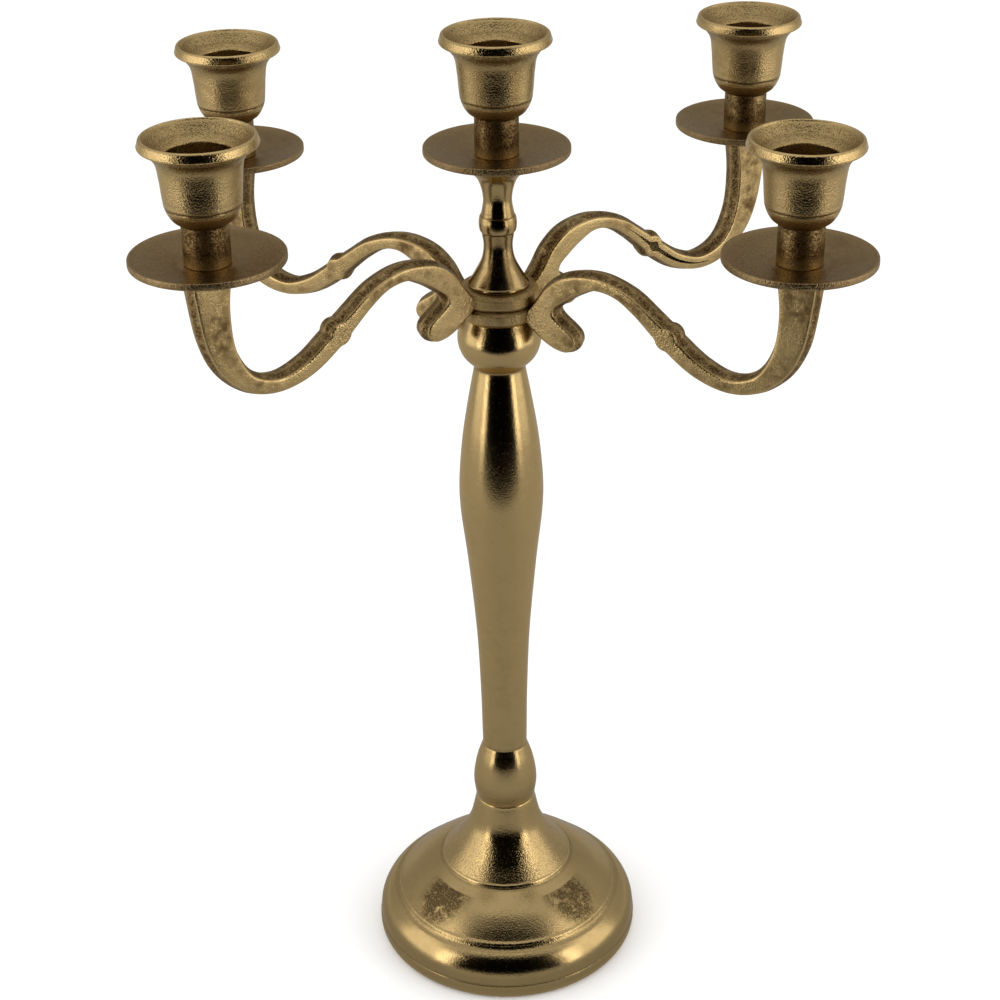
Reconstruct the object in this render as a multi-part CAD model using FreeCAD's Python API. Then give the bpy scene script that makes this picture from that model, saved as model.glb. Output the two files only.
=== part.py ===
import FreeCAD, Part
import math
import os

# A five-light tabletop candelabra: a bell-shaped foot, a turned stem, two double-armed castings
# clamped on top of the stem by a turned spindle, and a drip plate and a candle cup on every light.
# Millimetres, +Z up, origin at the bottom centre of the foot.

# ---- driving dimensions ------------------------------------------------------------------

overall_height = 400.0
foot_height = 68.0
stem_top = 291.3
ring_thickness = 6.0
swivel_gap = 0.1             # between the rings and what they turn on

foot_radius = 56.0
shaft_belly_radius = 16.7
ball_radius = 16.1
ring_radius = 15.2

arm_reach = 120.5            # column axis to the axis of an arm's light
arm_seat_height = 41.3       # underside of an arm's ring to the seat under its plates
arm_thickness = 9.0          # across the flat sides of an arm
arm_crown = 1.3              # how far the middle of an arm's edges stands proud of the sides
arm_root_gap = 0.5           # between an arm's root and the ring above or below its own
upper_pair_azimuth = 35.0    # degrees from +X, as the arms are splayed on the table
lower_pair_azimuth = 149.5

plate_radius = 27.3
plate_thickness = 2.5
plate_dish = 3.2             # how far the plate's edge stands above its middle

cup_height = 45.0
rim_radius = 20.5
neck_radius = 8.2
neck_height = 14.6
candle_bore_radius = 11.5    # for a 22 mm candle
bore_floor = 22.5            # above the cup's foot
bore_mouth = 38.8

stud_radius = 4.0            # M8
stud_hole_radius = 4.08      # running fit in the rings
stud_depth = 14.0            # screwed into the stem, and into the spindle
bolt_depth = 16.0            # foot bolt into the stem
bolt_hole_radius = 4.5
bolt_seat = 50.0             # height of the face inside the foot that the washer bears on
washer_radius = 8.5
washer_thickness = 1.6
bolt_head_width = 13.0       # across the flats
bolt_head_height = 5.3

cup_screw_radius = 2.5       # M5
cup_screw_clearance = 2.75
cup_screw_depth = 14.0
screw_head_radius = 4.6
screw_head_height = 3.0
screw_seat = 16.5            # above the cup's foot

# ---- heights worked out from them --------------------------------------------------------

lower_ring_bottom = stem_top + swivel_gap
upper_ring_bottom = lower_ring_bottom + ring_thickness + swivel_gap
spindle_bottom = upper_ring_bottom + ring_thickness + swivel_gap
centre_seat = overall_height - cup_height - plate_thickness


# ---- drawing helpers ---------------------------------------------------------------------

def point(x, z):
    return FreeCAD.Vector(x, 0, z)


class Outline:
    """A closed outline in the XZ plane, drawn edge by edge."""

    def __init__(self, x, z):
        self.start = point(x, z)
        self.here = self.start
        self.edges = []

    def line(self, x, z):
        end = point(x, z)
        self.edges.append(Part.makeLine(self.here, end))
        self.here = end
        return self

    def arc(self, middle, end):
        through = Part.Arc(self.here, point(*middle), point(*end))
        self.edges.append(through.toShape())
        self.here = point(*end)
        return self

    def curve(self, *ends):
        """A smooth curve from here through every point given."""
        spline = Part.BSplineCurve()
        spline.interpolate([self.here] + [point(*end) for end in ends])
        self.edges.append(spline.toShape())
        self.here = point(*ends[-1])
        return self

    def turned(self):
        """The solid swept by turning the closed outline about Z."""
        self.line(self.start.x, self.start.z)
        face = Part.Face(Part.Wire(self.edges))
        return face.revolve(FreeCAD.Vector(), FreeCAD.Vector(0, 0, 1), 360)


def cylinder(radius, bottom, top, x=0.0):
    return Part.makeCylinder(radius, top - bottom, FreeCAD.Vector(x, 0, bottom))


def moved(shape, x=0.0, z=0.0, azimuth=0.0):
    """A copy set at radius x and height z, then turned about Z."""
    placed = shape.copy()
    placed.translate(FreeCAD.Vector(x, 0, z))
    placed.rotate(FreeCAD.Vector(), FreeCAD.Vector(0, 0, 1), azimuth)
    return placed


# ---- foot and its fastening --------------------------------------------------------------

def foot():
    """A hollow bell: a rolled rim, a shallow saucer, and a flared neck that carries the stem."""
    outside = (
        Outline(0, 0)
        .line(foot_radius - 2.2, 0)
        .arc((foot_radius - 0.5, 2.2), (foot_radius, 5.6))
        .line(foot_radius - 0.5, 7.6)
        .arc((53.6, 15.4), (48.4, 20.8))
        .line(46.6, 22.5)
        .curve((37.4, 30.8), (28.2, 36.6))
        .line(27.5, 37.8)
        .curve((21.3, 44.9), (15.7, 54.4), (12.4, foot_height))
        .line(0, foot_height)
    ).turned()
    inside = (
        Outline(0, 0)
        .line(52.2, 0)
        .line(52.2, 7.0)
        .arc((50.2, 13.8), (45.6, 18.8))
        .curve((36.0, 28.0), (26.6, 33.2))
        .curve((18.0, 40.0), (10.0, bolt_seat - 4.0))
        .line(10.0, bolt_seat)
        .line(0, bolt_seat)
    ).turned()
    hole = cylinder(bolt_hole_radius, bolt_seat - 1, foot_height + 1)
    return outside.cut([inside, hole])


def foot_washer():
    disc = cylinder(washer_radius, bolt_seat - washer_thickness, bolt_seat)
    return disc.cut(cylinder(bolt_hole_radius, bolt_seat - washer_thickness - 1, bolt_seat + 1))


def foot_bolt():
    """A hexagon bolt that comes up from inside the foot into the stem."""
    head_top = bolt_seat - washer_thickness
    corner_radius = bolt_head_width / 2 / math.cos(math.radians(30))
    corners = []
    for index in range(7):
        angle = math.radians(60 * index)
        x = corner_radius * math.cos(angle)
        y = corner_radius * math.sin(angle)
        corners.append(FreeCAD.Vector(x, y, head_top - bolt_head_height))
    hexagon = Part.Face(Part.makePolygon(corners))
    head = hexagon.extrude(FreeCAD.Vector(0, 0, bolt_head_height))
    shank = cylinder(stud_radius, head_top - 1, foot_height + bolt_depth)
    return head.fuse(shank).removeSplitter()


# ---- stem, stud and spindle --------------------------------------------------------------

def stem():
    """One turned casting: lower ball, long shaft with its belly near the top, upper ball."""
    body = (
        Outline(0, foot_height)
        .line(12.4, foot_height)
        .curve((13.4, 76.6), (12.0, 86.4), (9.3, 94.6))
        .curve((9.7, 120.0), (10.9, 150.0), (13.8, 184.0), (16.4, 208.0),
               (shaft_belly_radius, 219.0), (15.1, 239.0), (12.3, 257.0), (9.9, 270.2))
        .curve((14.3, 275.4), (ball_radius, 281.2), (15.5, 286.4), (13.3, stem_top))
        .line(0, stem_top)
    ).turned()
    top_hole = cylinder(stud_radius, stem_top - stud_depth, stem_top + 1)
    bottom_hole = cylinder(stud_radius, foot_height - 1, foot_height + bolt_depth)
    return body.cut([top_hole, bottom_hole])


def stem_stud():
    return cylinder(stud_radius, stem_top - stud_depth, spindle_bottom + stud_depth)


def spindle():
    """The turned column above the arms: it screws down on their rings and carries a light."""
    body = (
        Outline(0, spindle_bottom)
        .line(11.4, spindle_bottom)
        .line(11.4, 304.8)
        .curve((8.5, 309.6), (6.3, 314.2), (5.5, 319.4), (6.3, 325.0))
        .line(6.9, 325.5)
        .arc((7.2, 328.2), (6.9, 330.9))
        .line(6.4, 331.4)
        .curve((5.4, 338.0), (7.3, 345.4), (10.8, 349.4))
        .arc((11.4, 350.2), (11.6, 351.2))
        .line(11.6, centre_seat)
        .line(0, centre_seat)
    ).turned()
    stud_hole = cylinder(stud_radius, spindle_bottom - 1, spindle_bottom + stud_depth)
    screw_hole = cylinder(cup_screw_radius, centre_seat - cup_screw_depth, centre_seat + 1)
    return body.cut([stud_hole, screw_hole])


# ---- arms --------------------------------------------------------------------------------

# An arm's side outline, as distance from the column axis and height above its ring's underside.
# It leaves the ring, humps, dips past the knuckle, and rises to the seat; the underside comes
# back the same way and ends in a short curled tail below the ring.
riser_inner = (113.8, arm_seat_height)
riser_outer = (129.0, arm_seat_height)
arm_upper_edge = [
    (13.0, 3.2), (17.6, 9.0), (22.4, 16.0), (30.0, 21.6), (43.5, 23.7), (56.0, 20.2),
    (67.0, 12.8), (77.0, 5.2), (87.0, -1.6), (97.6, -4.7), (107.6, -1.2), (113.8, 9.0),
    (115.7, 25.0), riser_inner,
]
arm_lower_edge = [
    riser_outer, (128.0, 30.0), (124.9, 12.3), (119.4, 1.4), (109.6, -6.8), (97.6, -9.5),
    (84.0, -6.2), (72.0, 1.6), (59.0, 13.0), (51.0, 18.0), (42.5, 19.2), (36.0, 16.4),
    (30.2, 12.4), (26.0, 8.8), (25.4, 6.0), (27.8, 3.4), (31.4, 0.9), (34.3, -1.9), (34.6, -5.2),
    (31.6, -7.8), (27.0, -7.5), (21.8, -5.2), (17.4, -1.9), (12.6, 1.8),
]
knuckle_at = (72.0, 5.6)
knuckle_radius = 4.2


def grown_edge(outline_points, amount, start_slope, end_slope):
    """The smooth edge through the points, moved out of the outline, to its left, by amount."""
    points = [point(*pair) for pair in outline_points]
    edge = Part.BSplineCurve()
    edge.interpolate(Points=points, InitialTangent=start_slope, FinalTangent=end_slope)
    stations = [edge.parameter(place) for place in points]
    shifted = []
    for place, station in zip(points, stations):
        direction = edge.tangent(station)[0]
        outward = FreeCAD.Vector(-direction.z, 0, direction.x)
        shifted.append(place + outward * amount)
    grown = Part.BSplineCurve()
    grown.interpolate(Points=shifted, Parameters=stations,
                      InitialTangent=start_slope, FinalTangent=end_slope)
    return grown.toShape()


def arm_outline(amount, offset_y):
    """The arm's closed side outline, grown by amount, in the plane y = offset_y."""
    up = FreeCAD.Vector(0, 0, 1)
    upper = grown_edge(arm_upper_edge, amount, FreeCAD.Vector(0.6, 0, 0.8), up)
    lower = grown_edge(arm_lower_edge, amount, -up, FreeCAD.Vector(-0.8, 0, 0.6))
    seat = Part.makeLine(upper.lastVertex().Point, lower.firstVertex().Point)
    root = Part.makeLine(lower.lastVertex().Point, upper.firstVertex().Point)
    wire = Part.Wire([upper, seat, lower, root])
    wire.translate(FreeCAD.Vector(0, offset_y, 0))
    return wire


def knuckle_half(side):
    """Half of the round swelling halfway along an arm, on one side of its middle plane."""
    x, z = knuckle_at
    middle = FreeCAD.Vector(x, 0, z)
    direction = FreeCAD.Vector(0, side, 0)
    return Part.makeCone(knuckle_radius + arm_crown, knuckle_radius, arm_thickness / 2, middle, direction)


def arm():
    """One arm along +X: flat sides, with crowned upper and lower edges."""
    half = arm_thickness / 2
    sections = [arm_outline(0, -half), arm_outline(arm_crown, 0), arm_outline(0, half)]
    bar = Part.makeLoft(sections, True, True)
    bar = bar.fuse([knuckle_half(-1), knuckle_half(1)])
    screw_hole = cylinder(cup_screw_radius, arm_seat_height - cup_screw_depth,
                          arm_seat_height + 1, arm_reach)
    return bar.cut(screw_hole)


def arm_pair():
    """A ring with two opposite arms, cast in one piece, with the ring's underside at z = 0."""
    edge_slope = 1.4
    ring = (
        Outline(0, 0)
        .line(ring_radius - edge_slope, 0)
        .line(ring_radius, edge_slope)
        .line(ring_radius, ring_thickness - edge_slope)
        .line(ring_radius - edge_slope, ring_thickness)
        .line(0, ring_thickness)
    ).turned()
    room_radius = ring_radius + arm_root_gap
    room_above = cylinder(room_radius, ring_thickness, arm_seat_height)
    room_below = cylinder(room_radius, -arm_seat_height, 0)
    trimmed = arm().cut([room_above, room_below])
    casting = ring.fuse([trimmed, moved(trimmed, azimuth=180)])
    return casting.cut(cylinder(stud_hole_radius, -1, ring_thickness + 1))


# ---- the lights: plate, cup and screw, each with its foot at z = 0 ------------------------

def drip_plate():
    """A shallow dish: flat in the middle, rising evenly to an upright edge with eased corners."""
    flat_radius = 10.0
    edge_bottom = plate_dish + 0.2
    edge_top = plate_dish + plate_thickness
    disc = (
        Outline(0, 0)
        .line(flat_radius + 2, 0)
        .line(plate_radius - 0.5, edge_bottom - 0.3)
        .line(plate_radius, edge_bottom)
        .line(plate_radius, edge_top - 0.3)
        .line(plate_radius - 0.4, edge_top)
        .line(flat_radius, plate_thickness)
        .line(0, plate_thickness)
    ).turned()
    return disc.cut(cylinder(cup_screw_clearance, -1, plate_thickness + 1))


def candle_cup():
    """A bell cup with a thick rolled lip, on a short round neck."""
    outside = (
        Outline(0, 0)
        .line(neck_radius, 0)
        .line(neck_radius, neck_height)
        .curve((10.6, 16.2), (12.4, 19.0), (13.3, 22.0))
        .curve((13.9, 30.0), (15.0, 36.6), (rim_radius - 1.9, 40.7))
        .arc((rim_radius, 43.1), (rim_radius - 1.6, cup_height))
        .line(0, cup_height)
    ).turned()
    mouth = (
        Outline(0, screw_seat)
        .line(5.5, screw_seat)
        .line(candle_bore_radius - 1.2, bore_floor)
        .line(candle_bore_radius, bore_floor)
        .line(candle_bore_radius, bore_mouth)
        .curve((14.6, 40.6), (rim_radius - 2.6, 43.9))
        .line(rim_radius - 1.6, cup_height + 1)
        .line(0, cup_height + 1)
    ).turned()
    return outside.cut([mouth, cylinder(cup_screw_clearance, -1, screw_seat + 1)])


def cup_screw():
    """The pan-head screw that holds cup and plate down, through the cup's floor."""
    bottom = -plate_thickness - cup_screw_depth
    head = cylinder(screw_head_radius, screw_seat, screw_seat + screw_head_height)
    slot = Part.makeBox(2 * screw_head_radius + 2, 1.2, 2,
                        FreeCAD.Vector(-screw_head_radius - 1, -0.6, screw_seat + 1.8))
    shank = cylinder(cup_screw_radius, bottom, screw_seat + 1)
    return head.fuse(shank).removeSplitter().cut(slot)


# ---- assembly ----------------------------------------------------------------------------

# Every light: name, distance from the column axis, azimuth, and height of the seat under its plate.
lights = [
    ("centre", 0.0, 0.0, centre_seat),
    ("upper_right", arm_reach, upper_pair_azimuth, upper_ring_bottom + arm_seat_height),
    ("upper_left", arm_reach, upper_pair_azimuth + 180, upper_ring_bottom + arm_seat_height),
    ("lower_left", arm_reach, lower_pair_azimuth, lower_ring_bottom + arm_seat_height),
    ("lower_right", arm_reach, lower_pair_azimuth + 180, lower_ring_bottom + arm_seat_height),
]


def assembly():
    parts = {
        "foot": foot(),
        "foot_washer": foot_washer(),
        "foot_bolt": foot_bolt(),
        "stem": stem(),
        "stem_stud": stem_stud(),
        "lower_arm_pair": moved(arm_pair(), z=lower_ring_bottom, azimuth=lower_pair_azimuth),
        "upper_arm_pair": moved(arm_pair(), z=upper_ring_bottom, azimuth=upper_pair_azimuth),
        "spindle": spindle(),
    }
    for name, reach, azimuth, seat in lights:
        plate_top = seat + plate_thickness
        parts["drip_plate_" + name] = moved(drip_plate(), reach, seat, azimuth)
        parts["candle_cup_" + name] = moved(candle_cup(), reach, plate_top, azimuth)
        parts["cup_screw_" + name] = moved(cup_screw(), reach, plate_top, azimuth)
    return parts


os.makedirs("parts", exist_ok=True)
for name, shape in assembly().items():
    shape.exportStep("parts/" + name + ".step")
    print(name, "valid" if shape.isValid() else "INVALID", len(shape.Solids), "solid",
          round(shape.Volume), "mm3")
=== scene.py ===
"""Looks of the tabletop candelabra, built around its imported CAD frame.

Profiles are (radius, height) pairs in millimetres; everything that reaches Blender is in metres.
"""

import math

import bpy
from mathutils import Matrix, Vector, noise
from mathutils.geometry import tessellate_polygon


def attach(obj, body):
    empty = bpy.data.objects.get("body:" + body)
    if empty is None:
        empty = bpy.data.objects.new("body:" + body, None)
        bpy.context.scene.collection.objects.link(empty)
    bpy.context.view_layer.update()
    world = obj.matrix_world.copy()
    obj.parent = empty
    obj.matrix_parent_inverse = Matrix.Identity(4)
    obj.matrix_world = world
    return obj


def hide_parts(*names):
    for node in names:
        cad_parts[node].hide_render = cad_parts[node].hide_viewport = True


mm = 0.001

# ---- driving dimensions, the same as the CAD's ----
ring_bottom = {"lower": 291.4, "upper": 297.5}
pair_azimuth = {"lower": 149.5, "upper": 35.0}
centre_seat = 352.5
arm_seat_height = 41.3
arm_reach = 120.5
arm_thickness = 9.0
ring_thickness = 6.0
knuckle_at = (72.0, 5.6)
knuckle_radius = 4.2
plate_thickness = 2.5

# ---- tarnish on the foot: two patches on the front of the saucer ----
patch_aside = 26.5
patch_forward = 25.0
patch_width = 13.0
patch_depth = 11.0

# ---- mesh density ----
turned_segments = 160
profile_step = 0.7
arm_step = 1.0

# ---- camera, set for the photograph's viewing angle ----
camera_distance = 0.7278
camera_height = 0.6036
camera_pitch = math.radians(28.36)
camera_roll = math.radians(-0.80)
camera_pan = math.radians(-0.05)
camera_lens = 74.59


# ---------------------------------------------------------------- outlines

def catmull_rom(points, step):
    """Points along a smooth curve through the given points, about one step apart."""
    padded = [2 * points[0] - points[1]] + points + [2 * points[-1] - points[-2]]
    result = [points[0]]
    for before, start, end, after in zip(padded, padded[1:], padded[2:], padded[3:]):
        knots = [0.0]
        for one, other in ((before, start), (start, end), (end, after)):
            knots.append(knots[-1] + max((other - one).length, 1e-6) ** 0.5)
        pieces = max(1, round((end - start).length / step))
        for index in range(1, pieces + 1):
            t = knots[1] + (knots[2] - knots[1]) * index / pieces
            a1 = before.lerp(start, (t - knots[0]) / (knots[1] - knots[0]))
            a2 = start.lerp(end, (t - knots[1]) / (knots[2] - knots[1]))
            a3 = end.lerp(after, (t - knots[2]) / (knots[3] - knots[2]))
            b1 = a1.lerp(a2, (t - knots[0]) / (knots[2] - knots[0]))
            b2 = a2.lerp(a3, (t - knots[1]) / (knots[3] - knots[1]))
            result.append(b1.lerp(b2, (t - knots[1]) / (knots[2] - knots[1])))
    return result


def arc_points(start, middle, end, step):
    """Points along the arc through three points, without its start."""
    ax, ay, bx, by, cx, cy = *start, *middle, *end
    d = 2 * (ax * (by - cy) + bx * (cy - ay) + cx * (ay - by))
    a2, b2, c2 = ax * ax + ay * ay, bx * bx + by * by, cx * cx + cy * cy
    centre = Vector(((a2 * (by - cy) + b2 * (cy - ay) + c2 * (ay - by)) / d,
                     (a2 * (cx - bx) + b2 * (ax - cx) + c2 * (bx - ax)) / d))
    radius = (start - centre).length
    angles = [math.atan2(p.y - centre.y, p.x - centre.x) for p in (start, middle, end)]
    first = (angles[1] - angles[0] + math.pi) % (2 * math.pi) - math.pi
    second = (angles[2] - angles[1] + math.pi) % (2 * math.pi) - math.pi
    sweep = first + second
    pieces = max(4, round(abs(sweep) * radius / step))
    return [centre + radius * Vector((math.cos(angles[0] + sweep * i / pieces),
                                      math.sin(angles[0] + sweep * i / pieces)))
            for i in range(1, pieces + 1)]


class Outline:
    """A dense run of (radius, height) points made of lines, arcs and smooth curves."""

    def __init__(self, radius, height, step=profile_step):
        self.points = [Vector((radius, height))]
        self.step = step

    def line(self, *ends):
        for end in ends:
            end = Vector(end)
            start = self.points[-1]
            pieces = max(1, round((end - start).length / (3 * self.step)))
            self.points += [start.lerp(end, i / pieces) for i in range(1, pieces + 1)]
        return self

    def arc(self, middle, end):
        self.points += arc_points(self.points[-1], Vector(middle), Vector(end), self.step / 2)
        return self

    def curve(self, *through):
        knots = [self.points[-1]] + [Vector(p) for p in through]
        self.points += catmull_rom(knots, self.step)[1:]
        return self


# ---------------------------------------------------------------- meshes

class Skin:
    """Vertices and faces of one piece, with how worn, how darkened by grime and painted shade, and how
    grainy each vertex is.
    """

    def __init__(self):
        self.vertices = []
        self.faces = []
        self.marks = {"wear": [], "grime_and_shade": [], "grain": []}

    def vertex(self, place, wear=0.0, grime_and_shade=0.0, grain=0.0):
        self.vertices.append(place)
        for mark, value in zip(self.marks, (wear, grime_and_shade, grain)):
            self.marks[mark].append(value)
        return len(self.vertices) - 1

    def turned(self, points, centre=(0.0, 0.0), base=0.0, grime_and_shade_at=None, grain_at=None,
               wobble=0.05, wobble_scale=0.045):
        """Turn a closed profile about the vertical line through centre, a little out of true."""
        bends = profile_bends(points)
        rows = []
        for index, point in enumerate(points):
            bend = bends[index]
            wear = min(1.0, max(0.0, bend) * 0.9)
            # Creases get painted shade: the sharper the profile turns inward, the darker its ring of
            # vertices.
            crease_shade = min(1.0, max(0.0, -bend) * 0.9)
            row = []
            for segment in range(turned_segments):
                angle = 2 * math.pi * segment / turned_segments
                radius = point.x
                direction = Vector((math.cos(angle), math.sin(angle), 0.0))
                place = radius * direction + Vector((centre[0], centre[1], base + point.y))
                if radius > 1.0:
                    place += direction * wobble * noise.noise(place * wobble_scale)
                grime_and_shade = max(crease_shade, grime_and_shade_at(radius, point.y, angle) if grime_and_shade_at else 0.0)
                grain = grain_at(radius, point.y) if grain_at else 0.0
                row.append(self.vertex(place, wear, grime_and_shade, grain))
            rows.append(row)
        for lower, upper in zip(rows, rows[1:] + rows[:1]):
            for segment in range(turned_segments):
                following = (segment + 1) % turned_segments
                self.faces.append((lower[segment], lower[following], upper[following], upper[segment]))
        return self

    def piece(self, name, node, body, slot, material, angle=0.0):
        """Make the Blender object, let it ride on its body and stand for its CAD node."""
        turn = Matrix.Rotation(angle, 3, "Z")
        mesh = bpy.data.meshes.new(name)
        mesh.from_pydata([turn @ place * mm for place in self.vertices], [], self.faces)
        for mark, values in self.marks.items():
            layer = mesh.attributes.new(mark, "FLOAT", "POINT")
            layer.data.foreach_set("value", values)
        mesh.materials.append(material)
        mesh.validate()
        mesh.shade_smooth()
        piece = bpy.data.objects.new(name, mesh)
        bpy.context.scene.collection.objects.link(piece)
        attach(piece, body)
        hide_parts(node)
        return piece


def profile_bends(points):
    """How sharply a profile turns at each point: above 0 on outer edges, below 0 in creases."""
    count = len(points)
    bends = []
    for index in range(count):
        before = points[index] - points[index - 1]
        after = points[(index + 1) % count] - points[index]
        turn = before.x * after.y - before.y * after.x
        turn /= max(before.length * after.length, 1e-9)
        turn = math.asin(max(-1.0, min(1.0, turn)))
        bends.append(2 * turn / max(before.length + after.length, 0.3))
    return [sum(bends[(index + shift) % count] for shift in (-2, -1, 0, 1, 2)) / 5
            for index in range(count)]


def soft_fade(value, low, high):
    """0 below low, 1 above high, smooth in between."""
    t = max(0.0, min(1.0, (value - low) / (high - low)))
    return t * t * (3 - 2 * t)


# ---------------------------------------------------------------- turned pieces

def foot_profile():
    outside = (
        Outline(52.2, 0.4)
        .arc((52.4, 0.1), (52.8, 0.0))
        .line((53.8, 0.0))
        .arc((55.5, 2.2), (56.0, 5.6))
        .arc((56.0, 6.5), (55.8, 7.2))
        .arc((55.68, 7.5), (55.66, 7.8))
        .arc((53.9, 15.2), (49.6, 19.8))
        .arc((48.4, 20.3), (47.6, 21.0))
        .line((47.25, 21.8))
        .arc((46.95, 22.4), (46.2, 23.0))
        .curve((41.6, 27.2), (37.2, 30.9), (32.6, 34.1), (28.6, 36.4))
        .arc((28.1, 36.7), (27.9, 37.2))
        .line((27.7, 37.6))
        .arc((27.5, 38.0), (27.0, 38.3))
        .curve((21.3, 44.9), (15.7, 54.4), (12.45, 67.4))
        .arc((12.3, 67.9), (11.8, 68.0))
    )
    inside = (
        Outline(10.4, 50.0)
        .line((10.0, 50.0), (10.0, 46.0))
        .curve((18.0, 40.0), (26.6, 33.2))
        .curve((36.0, 28.0), (45.6, 18.8))
        .arc((50.2, 13.8), (52.2, 7.0))
        .line((52.2, 0.8))
    )
    hole = Outline(11.0, 68.0).line((4.5, 68.0), (4.5, 50.0), (9.6, 50.0))
    return outside.points + hole.points + inside.points


def foot_grain(radius, height):
    """The cast grain shows in the fillet inside the rim and at the bottom of the flare."""
    fillet = soft_fade(radius, 45.5, 47.0) * (1.0 - soft_fade(radius, 49.0, 51.0))
    flare = soft_fade(radius, 15.0, 18.0) * (1.0 - soft_fade(radius, 27.0, 28.0))
    return 0.6 * fillet + 0.6 * flare if height > 15.0 else 0.0


def foot_grime(radius, height, angle):
    """Two patches of tarnish on the front of the saucer."""
    across = radius * math.cos(angle)
    along = radius * math.sin(angle)
    patch = 0.0
    for side in (-1, 1):
        distance = math.hypot((across - side * patch_aside) / patch_width,
                              (along + patch_forward) / patch_depth)
        patch = max(patch, 1.0 - soft_fade(distance, 0.45, 1.25))
    on_saucer = 1.0 if 20.0 < height < 34.0 else 0.0
    return 1.4 * patch * on_saucer


def stem_profile():
    return (
        Outline(4.0, 68.0)
        .line((12.0, 68.0))
        .arc((12.3, 68.1), (12.5, 68.5))
        .curve((13.4, 76.6), (12.0, 86.4), (9.5, 94.2))
        .arc((9.25, 94.8), (9.3, 95.6))
        .curve((9.7, 120.0), (10.9, 150.0), (13.8, 184.0), (16.4, 208.0),
               (16.7, 219.0), (15.1, 239.0), (12.3, 257.0), (9.95, 269.6))
        .arc((9.9, 270.2), (10.2, 270.8))
        .curve((14.3, 275.4), (16.1, 281.2), (15.5, 286.4), (13.6, 290.9))
        .arc((13.4, 291.2), (13.1, 291.3))
        .line((4.0, 291.3))
    ).points


def spindle_profile():
    return (
        Outline(4.0, 303.6)
        .line((11.2, 303.6))
        .arc((11.4, 303.7), (11.45, 304.0))
        .arc((11.45, 304.6), (11.1, 305.0))
        .curve((8.5, 309.6), (6.3, 314.2), (5.5, 319.4), (6.2, 324.8))
        .arc((6.5, 325.1), (6.85, 325.5))
        .arc((7.2, 328.2), (6.85, 330.9))
        .arc((6.6, 331.3), (6.3, 331.5))
        .curve((5.4, 338.0), (7.3, 345.4), (10.7, 349.3))
        .arc((11.4, 350.2), (11.6, 351.2))
        .line((11.6, 352.1))
        .arc((11.5, 352.4), (11.2, 352.5))
        .line((2.5, 352.5))
    ).points


def ring_profile():
    """The ring of an arm pair, with its underside at height 0."""
    return (
        Outline(4.1, 0.0)
        .line((13.6, 0.0))
        .arc((14.0, 0.1), (14.3, 0.4))
        .line((14.8, 0.95))
        .arc((15.1, 1.3), (15.2, 1.8))
        .line((15.2, ring_thickness - 1.8))
        .arc((15.1, ring_thickness - 1.3), (14.8, ring_thickness - 0.95))
        .line((14.3, ring_thickness - 0.4))
        .arc((14.0, ring_thickness - 0.1), (13.6, ring_thickness))
        .line((4.1, ring_thickness))
    ).points


def plate_profile():
    return (
        Outline(2.75, 0.0)
        .line((11.5, 0.0))
        .arc((12.2, 0.03), (13.0, 0.2))
        .line((26.5, 3.0))
        .arc((27.1, 3.2), (27.3, 3.7))
        .line((27.25, 5.1))
        .arc((27.15, 5.5), (26.7, 5.65))
        .arc((26.4, 5.65), (26.1, 5.5))
        .line((11.2, 2.65))
        .arc((10.6, 2.52), (10.0, 2.5))
        .line((2.75, 2.5))
    ).points


def plate_grain(radius, height):
    """The edge of a plate is left as cast."""
    return 1.0 if radius > 26.8 else 0.5


def cup_profile():
    outside = (
        Outline(2.75, 0.0)
        .line((7.8, 0.0))
        .arc((8.1, 0.1), (8.2, 0.4))
        .line((8.2, 14.1))
        .arc((8.25, 14.6), (8.7, 14.9))
        .curve((10.6, 16.2), (12.4, 19.0), (13.05, 20.9))
        .arc((13.0, 21.15), (13.25, 21.45))
        .curve((13.6, 25.0), (14.1, 31.0), (15.1, 36.6), (17.9, 40.5))
        .arc((18.5, 41.1), (19.2, 41.2))
        .arc((20.2, 41.5), (20.5, 42.2))
        .line((19.95, 43.9))
        .arc((19.6, 44.7), (19.1, 45.0))
        .arc((18.8, 45.0), (18.5, 44.7))
    )
    inside = (
        Outline(18.2, 44.3)
        .curve((14.6, 40.6), (11.9, 39.0))
        .arc((11.55, 38.8), (11.5, 38.3))
        .line((11.5, 22.9))
        .arc((11.4, 22.6), (11.1, 22.5))
        .line((10.3, 22.5), (5.5, 16.5), (2.75, 16.5))
    )
    return outside.points + inside.points


def cup_tarnish_and_shade(radius, height, angle):
    """The neck and the bore are brown with tarnish; under the lip the flare gets painted shade, and the
    belly just above the neck is darkened too.
    """
    neck = (1.0 - soft_fade(radius, 8.3, 9.6)) * (1.0 - soft_fade(height, 14.6, 16.5))
    bore = (1.0 - soft_fade(radius, 11.6, 12.4)) * soft_fade(height, 17.0, 20.0)
    # Painted shadow under the flaring lip.
    under_lip = (soft_fade(height, 33.0, 39.0) * (1.0 - soft_fade(height, 40.8, 41.6))
                 * soft_fade(radius, 14.2, 14.6))
    belly = soft_fade(radius, 8.3, 9.6) * (1.0 - soft_fade(height, 17.0, 21.5))
    return max(neck, 0.6 * bore, 0.5 * under_lip, 0.6 * belly)


def cup_grain(radius, height):
    """The inside of a cup is left as cast, the outside is brushed."""
    return 1.0 if radius < 18.0 and height > 38.9 else 0.25


# ---------------------------------------------------------------- arms

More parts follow.
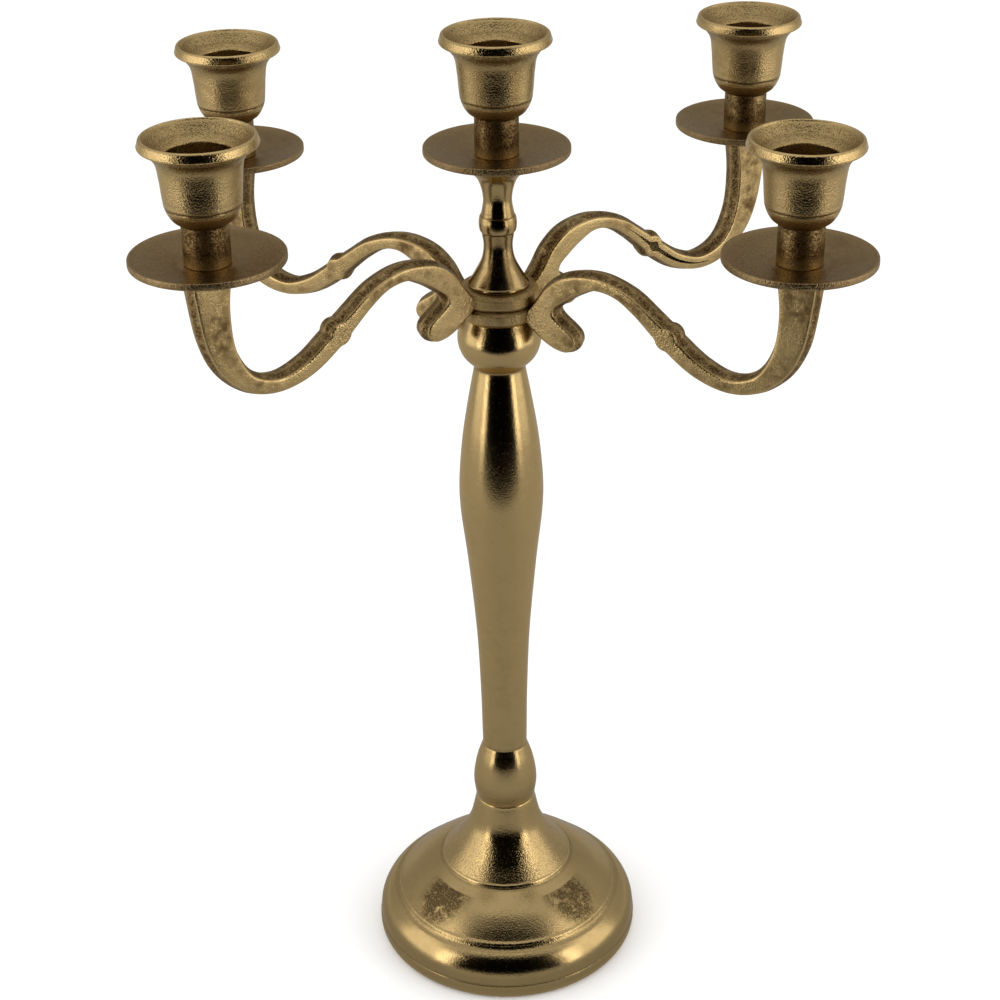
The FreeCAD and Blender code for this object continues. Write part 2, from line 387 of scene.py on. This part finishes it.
arm_upper_edge = [
    (13.0, 3.2), (17.6, 9.0), (22.4, 16.0), (30.0, 21.6), (43.5, 23.7), (56.0, 20.2),
    (67.0, 12.8), (77.0, 5.2), (87.0, -1.6), (97.6, -4.7), (107.6, -1.2), (113.8, 9.0),
    (115.7, 25.0), (113.8, 41.3),
]
arm_lower_edge = [
    (129.0, 41.3), (128.0, 30.0), (124.9, 12.3), (119.4, 1.4), (109.6, -6.8), (97.6, -9.5),
    (84.0, -6.2), (72.0, 1.6), (59.0, 13.0), (51.0, 18.0), (42.5, 19.2), (36.0, 16.4),
    (30.2, 12.4), (26.0, 8.8), (25.4, 6.0), (27.8, 3.4), (31.4, 0.9), (34.3, -1.9), (34.6, -5.2),
    (31.6, -7.8), (27.0, -7.5), (21.8, -5.2), (17.4, -1.9), (12.6, 1.8),
]

# Across the edge of an arm: share of half its width, how far out of the side outline, and how worn
# and grimy. The edge is crowned like a low roof, with eased corners; grime covers most of it.
edge_section = [
    (1.0, -2.2, 0.0, 0.0), (1.0, -0.9, 0.1, 0.0), (0.99, -0.45, 0.6, 0.0),
    (0.965, -0.15, 1.0, 0.0), (0.92, 0.06, 0.8, 0.3), (0.82, 0.2, 0.1, 0.9),
    (0.6, 0.5, 0.0, 1.0), (0.35, 0.9, 0.0, 1.0), (0.14, 1.18, 0.1, 0.85), (0.0, 1.26, 0.3, 0.7),
]


def arm_loop():
    """The arm's side outline as a closed run of points, counter-clockwise, with its knuckle."""
    upper = catmull_rom([Vector(p) for p in arm_upper_edge], arm_step)
    lower = catmull_rom([Vector(p) for p in arm_lower_edge], arm_step)
    seat_width = (lower[0] - upper[-1]).length
    seat_pieces = round(seat_width / arm_step)
    seat = [upper[-1].lerp(lower[0], i / seat_pieces) for i in range(1, seat_pieces)]
    loop = upper + seat + lower
    knuckle = Vector(knuckle_at)
    for index, place in enumerate(loop):
        offset = place - knuckle
        if offset.length < knuckle_radius:
            loop[index] = knuckle + offset.normalized() * knuckle_radius
    return loop


def arm_skin(skin, turn, base):
    """One arm: flat sides with low waves from hand finishing, and crowned edges."""
    loop = arm_loop()
    count = len(loop)
    outward = []
    for index in range(count):
        along = loop[(index + 1) % count] - loop[index - 1]
        outward.append(Vector((-along.y, along.x)).normalized())
    for _ in range(2):
        outward = [(outward[i - 1] + 2 * outward[i] + outward[(i + 1) % count]).normalized()
                   for i in range(count)]
    half = arm_thickness / 2
    section = edge_section + [(-across, *rest) for across, *rest in reversed(edge_section[:-1])]
    rings = []
    for across, out, wear, grime_and_shade in section:
        ring = []
        for place, direction in zip(loop, outward):
            spot = place + direction * out
            flat = Vector((spot.x, across * half, base + spot.y))
            wave = 0.10 * noise.noise(flat * 0.09)
            flat += Vector((direction.x, math.copysign(0.3, across), direction.y)) * wave
            knuckle = 1.0 - soft_fade((spot - Vector(knuckle_at)).length, 4.5, 8.0)
            grain = max(0.7 - 0.7 * soft_fade(spot.x, 15.0, 24.0), 0.7 * knuckle, grime_and_shade)
            ring.append(skin.vertex(turn @ flat, wear, grime_and_shade, grain))
        rings.append(ring)
    for inner, outer in zip(rings, rings[1:]):
        for index in range(count):
            following = (index + 1) % count
            skin.faces.append((inner[index], inner[following], outer[following], outer[index]))
    for ring, flipped in ((rings[0], True), (rings[-1], False)):
        flat_loop = [(turn.inverted() @ skin.vertices[v]) for v in ring]
        for corners in tessellate_polygon([[Vector((p.x, p.z, 0.0)) for p in flat_loop]]):
            face = [ring[corner] for corner in corners]
            skin.faces.append(tuple(reversed(face)) if flipped else tuple(face))


def ring_shade(radius, height, angle):
    """Painted shade: the whole ring is darkened somewhat, and most next to its top and bottom faces,
    where the rings, the stem and the spindle meet.
    """
    return 0.55 + 0.45 * (1.0 - soft_fade(min(height, ring_thickness - height), 0.3, 1.6))


def arm_pair(level, material):
    base = ring_bottom[level]
    skin = Skin()
    skin.turned(ring_profile(), base=base, grime_and_shade_at=ring_shade,
                grain_at=lambda radius, height: 1.0, wobble=0.45, wobble_scale=0.16)
    for half_turn in (0, math.pi):
        arm_skin(skin, Matrix.Rotation(half_turn, 3, "Z"), base)
    skin.piece(level + "_arms_and_ring", level + "_arm_pair", level + "_arms",
               "flat_sided_casting", material, math.radians(pair_azimuth[level]))


# ---------------------------------------------------------------- materials

def node(tree, kind, **inputs):
    """Add a node; inputs are values or other nodes' output sockets, by input name."""
    made = tree.nodes.new(kind)
    for name, value in inputs.items():
        socket = made.inputs[name.replace("_", " ")]
        if isinstance(value, bpy.types.NodeSocket):
            tree.links.new(value, socket)
        else:
            socket.default_value = value
    return made


def speckle(tree, place, scale, detail=3.0, roughness=0.5):
    return node(tree, "ShaderNodeTexNoise", Vector=place, Scale=scale, Detail=detail,
                Roughness=roughness).outputs["Fac"]


def ramp(tree, value, low, high, to_low=0.0, to_high=1.0):
    made = node(tree, "ShaderNodeMapRange", Value=value)
    made.interpolation_type = "SMOOTHSTEP"
    for name, number in (("From Min", low), ("From Max", high), ("To Min", to_low), ("To Max", to_high)):
        made.inputs[name].default_value = number
    return made.outputs["Result"]


def combine(tree, operation, one, other):
    made = tree.nodes.new("ShaderNodeMath")
    made.operation = operation
    for socket, value in zip(made.inputs, (one, other)):
        if isinstance(value, bpy.types.NodeSocket):
            tree.links.new(value, socket)
        else:
            socket.default_value = value
    return made.outputs[0]


def tint(tree, amount, one, other):
    """Mix two colours, each a value or a socket."""
    made = tree.nodes.new("ShaderNodeMix")
    made.data_type = "RGBA"
    tree.links.new(amount, made.inputs["Factor"])
    for socket, colour in ((made.inputs[6], one), (made.inputs[7], other)):
        if isinstance(colour, bpy.types.NodeSocket):
            tree.links.new(colour, socket)
        else:
            socket.default_value = (*colour, 1.0)
    return made.outputs[2]


def mark(tree, name):
    made = tree.nodes.new("ShaderNodeAttribute")
    made.attribute_name = name
    return made.outputs["Fac"]


def cast_metal(name, colour, tarnish, roughness, grain_scale, grain_depth, brushed=0.0,
               blotches=0.35, pits=0.5, coarse=2.6, uneven=0.2):
    """Cast and hand-finished yellow metal under a thin brown tarnish.

    Colour drifts in blotches, pits hold tarnish, and the grime mark darkens the colour towards the
    tarnish colour, for real tarnish and for painted shade in creases, at the ring gaps and under the cup
    lips;
    worn edges are brighter; bump is sand grain everywhere, strongest where the piece is left as cast,
    with fine rings where it is brushed.
    """
    material = bpy.data.materials.new(name)
    material.use_nodes = True
    tree = material.node_tree
    shader = tree.nodes["Principled BSDF"]
    shader.inputs["Metallic"].default_value = 1.0
    shader.inputs["Specular Tint"].default_value = (1.0, 0.92, 0.78, 1.0)
    place = tree.nodes.new("ShaderNodeTexCoord").outputs["Object"]

    drift = speckle(tree, place, 38.0, 4.0, 0.6)
    mottle = speckle(tree, place, 260.0, 5.0, 0.62)
    sand = speckle(tree, place, grain_scale, 2.0, 0.55)
    fine = speckle(tree, place, grain_scale * 2.7, 2.0, 0.6)
    grain = mark(tree, "grain")
    grime_and_shade = mark(tree, "grime_and_shade")
    wear = mark(tree, "wear")

    blotch = combine(tree, "MULTIPLY", ramp(tree, drift, 0.38, 0.64), ramp(tree, mottle, 0.3, 0.66))
    blotch = combine(tree, "MULTIPLY", blotch, blotches)
    pit = combine(tree, "MULTIPLY", ramp(tree, sand, 0.66, 0.74), pits)
    rough_dirt = combine(tree, "MULTIPLY", grain, ramp(tree, sand, 0.46, 0.66, 0.0, 0.55))
    patches = combine(tree, "MULTIPLY", ramp(tree, mottle, 0.26, 0.54, 0.2, 1.0),
                      ramp(tree, sand, 0.36, 0.6, 0.5, 1.0))
    # The grime mark holds real tarnish and painted shade alike; patches break it up before it darkens the
    # colour.
    patchy_grime_and_shade = combine(tree, "MULTIPLY", grime_and_shade, patches)
    dirt_and_shade = combine(tree, "MAXIMUM", combine(tree, "MAXIMUM", blotch, pit),
                   combine(tree, "MAXIMUM", rough_dirt, patchy_grime_and_shade))
    base = tint(tree, dirt_and_shade, colour, tarnish)
    bright = tuple(min(1.0, channel * 1.35) for channel in colour)
    shine = combine(tree, "MULTIPLY", wear, ramp(tree, mottle, 0.3, 0.6, 0.35, 0.9))
    base = tint(tree, shine, base, bright)
    tree.links.new(base, shader.inputs["Base Color"])

    gloss = ramp(tree, combine(tree, "ADD", dirt_and_shade, combine(tree, "MULTIPLY", fine, 0.35)),
                 0.05, 0.95, roughness, min(0.75, roughness + 0.28))
    tree.links.new(gloss, shader.inputs["Roughness"])

    height = combine(tree, "MULTIPLY", sand,
                     combine(tree, "ADD", combine(tree, "MULTIPLY", grain, coarse), 1.0))
    height = combine(tree, "ADD", height, combine(tree, "MULTIPLY", fine, 0.4))
    height = combine(tree, "ADD", height, combine(tree, "MULTIPLY", mottle, uneven))
    if brushed:
        stretch = node(tree, "ShaderNodeMapping", Vector=place)
        stretch.inputs["Scale"].default_value = (30.0, 30.0, 2600.0)
        lines = speckle(tree, stretch.outputs["Vector"], 1.0, 2.0, 0.5)
        height = combine(tree, "ADD", height, combine(tree, "MULTIPLY", lines, brushed))
    bump = node(tree, "ShaderNodeBump", Height=height, Strength=1.0)
    bump.inputs["Distance"].default_value = grain_depth
    tree.links.new(bump.outputs["Normal"], shader.inputs["Normal"])
    return material


def steel():
    material = bpy.data.materials.new("steel_fasteners")
    material.use_nodes = True
    tree = material.node_tree
    shader = tree.nodes["Principled BSDF"]
    shader.inputs["Metallic"].default_value = 1.0
    place = tree.nodes.new("ShaderNodeTexCoord").outputs["Object"]
    smudge = speckle(tree, place, 420.0, 4.0)
    base = tint(tree, ramp(tree, smudge, 0.35, 0.7), (0.42, 0.41, 0.39), (0.20, 0.18, 0.15))
    tree.links.new(base, shader.inputs["Base Color"])
    tree.links.new(ramp(tree, smudge, 0.3, 0.7, 0.28, 0.5), shader.inputs["Roughness"])
    bump = node(tree, "ShaderNodeBump", Height=speckle(tree, place, 1500.0))
    bump.inputs["Distance"].default_value = 0.00004
    tree.links.new(bump.outputs["Normal"], shader.inputs["Normal"])
    return material


# ---------------------------------------------------------------- stage

def stage_sheet(name, reach, height, material):
    """A level square that reaches equally far to every side of the object."""
    corners = [(-reach, -reach, height), (reach, -reach, height),
               (reach, reach, height), (-reach, reach, height)]
    mesh = bpy.data.meshes.new(name)
    mesh.from_pydata(corners, [], [(0, 1, 2, 3)])
    mesh.materials.append(material)
    sheet = bpy.data.objects.new(name, mesh)
    bpy.context.scene.collection.objects.link(sheet)
    return sheet


def only_in_reflections(thing):
    """Hide a stage object from everything but mirrored rays."""
    thing.visible_camera = False
    thing.visible_diffuse = False
    thing.visible_transmission = False
    thing.visible_volume_scatter = False
    thing.visible_shadow = False


def glowing(name, build):
    """A material that only glows; build(tree, place) gives its strength socket."""
    material = bpy.data.materials.new(name)
    material.use_nodes = True
    tree = material.node_tree
    tree.nodes.clear()
    place = tree.nodes.new("ShaderNodeTexCoord").outputs["Object"]
    parts = node(tree, "ShaderNodeSeparateXYZ", Vector=place).outputs
    glow = node(tree, "ShaderNodeEmission", Strength=build(tree, parts))
    output = tree.nodes.new("ShaderNodeOutputMaterial")
    tree.links.new(glow.outputs["Emission"], output.inputs["Surface"])
    return material


# The studio as the metal sees it. Angles and lengths of the dark opening in front of the object,
# through which the camera looks, and the glow of what is around it.
opening_ratio = 1.25    # sideways reach over forward reach, about 51 degrees either side
opening_top = 1.8       # how high it reaches over how far it is, about 61 degrees
table_front = 0.48
table_glow = 0.50
room_glow = 0.52
ceiling_glow = 0.74
back_glow = 0.40
dome_radius = 3.0
table_lift = 0.0004     # the glowing table lies this far above the floor
floor_reach = 30.0
floor_white = 0.92
world_light = 1.12


def table_strength(tree, place):
    """The table: shaded close around the foot, lit around it, dark beyond its front edge."""
    flat = combine(tree, "SQRT", combine(tree, "ADD",
                                         combine(tree, "MULTIPLY", place["X"], place["X"]),
                                         combine(tree, "MULTIPLY", place["Y"], place["Y"])), 0.0)
    near = ramp(tree, flat, 0.055, 0.17, 0.38, table_glow)
    forward = combine(tree, "MULTIPLY", place["Y"], -1.0)
    sideways = combine(tree, "ABSOLUTE", place["X"], 0.0)
    near = combine(tree, "MULTIPLY", near, ramp(tree, sideways, 0.05, 0.45, 0.92, 1.16))
    inside = ramp(tree, combine(tree, "SUBTRACT", sideways,
                                combine(tree, "MULTIPLY", forward, opening_ratio)), -0.06, 0.06, 1.0, 0.0)
    beyond = ramp(tree, forward, table_front - 0.04, table_front + 0.04)
    dark = combine(tree, "MULTIPLY", inside, beyond)
    return combine(tree, "MULTIPLY", near, combine(tree, "SUBTRACT", 1.0, dark))


def dome_strength(tree, place):
    """The room: dark through the opening, brighter overhead, dimmer low at the back."""
    up = ramp(tree, place["Z"], 0.5 * dome_radius, 0.95 * dome_radius, 0.0, 1.0)
    back = ramp(tree, place["Y"], 0.2 * dome_radius, 0.8 * dome_radius)
    around = combine(tree, "ADD", room_glow,
                     combine(tree, "MULTIPLY", back, back_glow - room_glow))
    lit = combine(tree, "ADD", combine(tree, "MULTIPLY", around, combine(tree, "SUBTRACT", 1.0, up)),
                  combine(tree, "MULTIPLY", up, ceiling_glow))
    forward = combine(tree, "MULTIPLY", place["Y"], -1.0)
    sideways = combine(tree, "ABSOLUTE", place["X"], 0.0)
    wide = ramp(tree, combine(tree, "SUBTRACT", sideways,
                              combine(tree, "MULTIPLY", forward, opening_ratio)), -0.15, 0.15, 1.0, 0.0)
    low = ramp(tree, combine(tree, "SUBTRACT", place["Z"],
                             combine(tree, "MULTIPLY", forward, opening_top)), -0.3, 0.3, 1.0, 0.0)
    dark = combine(tree, "MULTIPLY", wide, low)
    return combine(tree, "MULTIPLY", lit, combine(tree, "SUBTRACT", 1.0, dark))


def build_stage():
    paper = bpy.data.materials.new("pale_floor")
    paper.use_nodes = True
    shader = paper.node_tree.nodes["Principled BSDF"]
    shader.inputs["Base Color"].default_value = (floor_white, floor_white, floor_white, 1.0)
    shader.inputs["Roughness"].default_value = 0.9
    shader.inputs["Specular IOR Level"].default_value = 0.0
    floor = stage_sheet("floor", floor_reach, 0.0, paper)
    floor.visible_glossy = False
    table = stage_sheet("table_in_reflections", dome_radius, table_lift,
                        glowing("table_glow", table_strength))
    only_in_reflections(table)

    bpy.ops.mesh.primitive_uv_sphere_add(segments=64, ring_count=32, radius=dome_radius)
    dome = bpy.context.object
    dome.name = "room_in_reflections"
    dome.data.materials.append(glowing("room_glow", dome_strength))
    only_in_reflections(dome)

    world = bpy.data.worlds.new("pale_room")
    bpy.context.scene.world = world
    world.use_nodes = True
    world.node_tree.nodes["Background"].inputs["Color"].default_value = (1.0, 1.0, 1.0, 1.0)
    world.node_tree.nodes["Background"].inputs["Strength"].default_value = world_light


def soft_box(name, place, target, width, height, glow, tone=(1.0, 0.97, 0.92)):
    """A rectangular area light whose face glows evenly."""
    light = bpy.data.lights.new(name, "AREA")
    light.shape = "RECTANGLE"
    light.size = width
    light.size_y = height
    light.energy = glow * math.pi * width * height
    light.color = tone
    lamp = bpy.data.objects.new(name, light)
    bpy.context.scene.collection.objects.link(lamp)
    lamp.location = place
    lamp.rotation_euler = (Vector(target) - Vector(place)).to_track_quat("-Z", "Y").to_euler()
    return lamp


def build_lights():
    """A narrow bright soft box beside the camera and a broad dim one behind it, on either side."""
    aim = (0, 0, 0.24)
    for side, name in ((-1, "left"), (1, "right")):
        soft_box(name + "_bright_box", (side * 0.83, -0.58, 0.35), aim, 0.24, 0.98, 2.55)
        soft_box(name + "_broad_box", (side * 0.98, -0.12, 0.45), aim, 0.62, 1.0, 0.9)


def build_camera():
    """The camera stands in front of the object, looks down on it and is rolled very slightly."""
    camera_data = bpy.data.cameras.new("camera")
    camera_data.lens = camera_lens
    camera_data.sensor_width = 36.0
    camera_data.clip_start = 0.01
    camera_data.clip_end = 60.0
    camera = bpy.data.objects.new("camera", camera_data)
    bpy.context.scene.collection.objects.link(camera)
    forward = Vector((math.sin(camera_pan) * math.cos(camera_pitch),
                      math.cos(camera_pan) * math.cos(camera_pitch), -math.sin(camera_pitch)))
    level = Vector((math.cos(camera_pan), -math.sin(camera_pan), 0.0))
    upright = level.cross(forward)
    right = level * math.cos(camera_roll) + upright * math.sin(camera_roll)
    up = upright * math.cos(camera_roll) - level * math.sin(camera_roll)
    turn = Matrix((right, up, -forward)).transposed().to_4x4()
    camera.matrix_world = Matrix.Translation((0.0, -camera_distance, camera_height)) @ turn
    bpy.context.scene.camera = camera


# ---------------------------------------------------------------- the scene

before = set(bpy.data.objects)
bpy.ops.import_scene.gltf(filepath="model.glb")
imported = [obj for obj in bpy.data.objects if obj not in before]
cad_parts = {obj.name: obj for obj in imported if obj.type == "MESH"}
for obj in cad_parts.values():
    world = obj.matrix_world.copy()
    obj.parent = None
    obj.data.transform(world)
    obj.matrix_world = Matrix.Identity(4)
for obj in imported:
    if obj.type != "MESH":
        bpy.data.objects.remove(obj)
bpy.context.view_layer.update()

gold = (0.51, 0.365, 0.163)
shaded_gold = (0.45, 0.32, 0.143)
olive = (0.10, 0.066, 0.028)
umber = (0.078, 0.037, 0.012)
plate_tone = (0.262, 0.18, 0.088)
polished = cast_metal("polished_casting", gold, olive, 0.12, 1500.0, 0.000055, blotches=0.12)
# Painted shade: the spindle's metal is a darker copy of the polished casting, its gold scaled down by
# about an eighth.
shaded_spindle_metal = cast_metal("shaded_spindle_casting", shaded_gold, umber, 0.11, 1500.0, 0.00006,
                       blotches=0.4)
linished = cast_metal("flat_sided_casting", gold, umber, 0.19, 1400.0, 0.00009,
                      blotches=0.85, uneven=0.7)
brushed = cast_metal("brushed_plate", plate_tone, umber, 0.24, 1500.0, 0.00008, blotches=0.3)
grained = cast_metal("grained_casting", gold, umber, 0.14, 1500.0, 0.0001, brushed=0.15,
                     blotches=0.25, pits=0.2)
fasteners = steel()

Skin().turned(foot_profile(), grime_and_shade_at=foot_grime, grain_at=foot_grain).piece(
    "bell_foot", "foot", "column", "polished_casting", polished)
Skin().turned(stem_profile()).piece("turned_stem", "stem", "column", "polished_casting", polished)
Skin().turned(spindle_profile()).piece(
    "turned_spindle", "spindle", "column", "polished_casting", shaded_spindle_metal)
for level in ("lower", "upper"):
    arm_pair(level, linished)

seat_height = {level: bottom + arm_seat_height for level, bottom in ring_bottom.items()}
lights = [
    ("centre", "column", 0.0, 0.0, centre_seat),
    ("upper_right", "upper_arms", arm_reach, pair_azimuth["upper"], seat_height["upper"]),
    ("upper_left", "upper_arms", arm_reach, pair_azimuth["upper"] + 180, seat_height["upper"]),
    ("lower_left", "lower_arms", arm_reach, pair_azimuth["lower"], seat_height["lower"]),
    ("lower_right", "lower_arms", arm_reach, pair_azimuth["lower"] + 180, seat_height["lower"]),
]
for name, body, reach, azimuth, seat in lights:
    angle = math.radians(azimuth)
    centre = (reach * math.cos(angle), reach * math.sin(angle))
    Skin().turned(plate_profile(), centre, seat, grain_at=plate_grain).piece(
        "plate_" + name, "drip_plate_" + name, body, "brushed_plate", brushed)
    Skin().turned(cup_profile(), centre, seat + plate_thickness, grime_and_shade_at=cup_tarnish_and_shade,
                  grain_at=cup_grain).piece(
        "cup_" + name, "candle_cup_" + name, body, "grained_casting", grained)

for name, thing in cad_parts.items():
    if not thing.hide_render:
        thing.data.materials.clear()
        thing.data.materials.append(fasteners)

build_stage()
build_lights()
build_camera()
bpy.context.scene.view_settings.view_transform = "Standard"
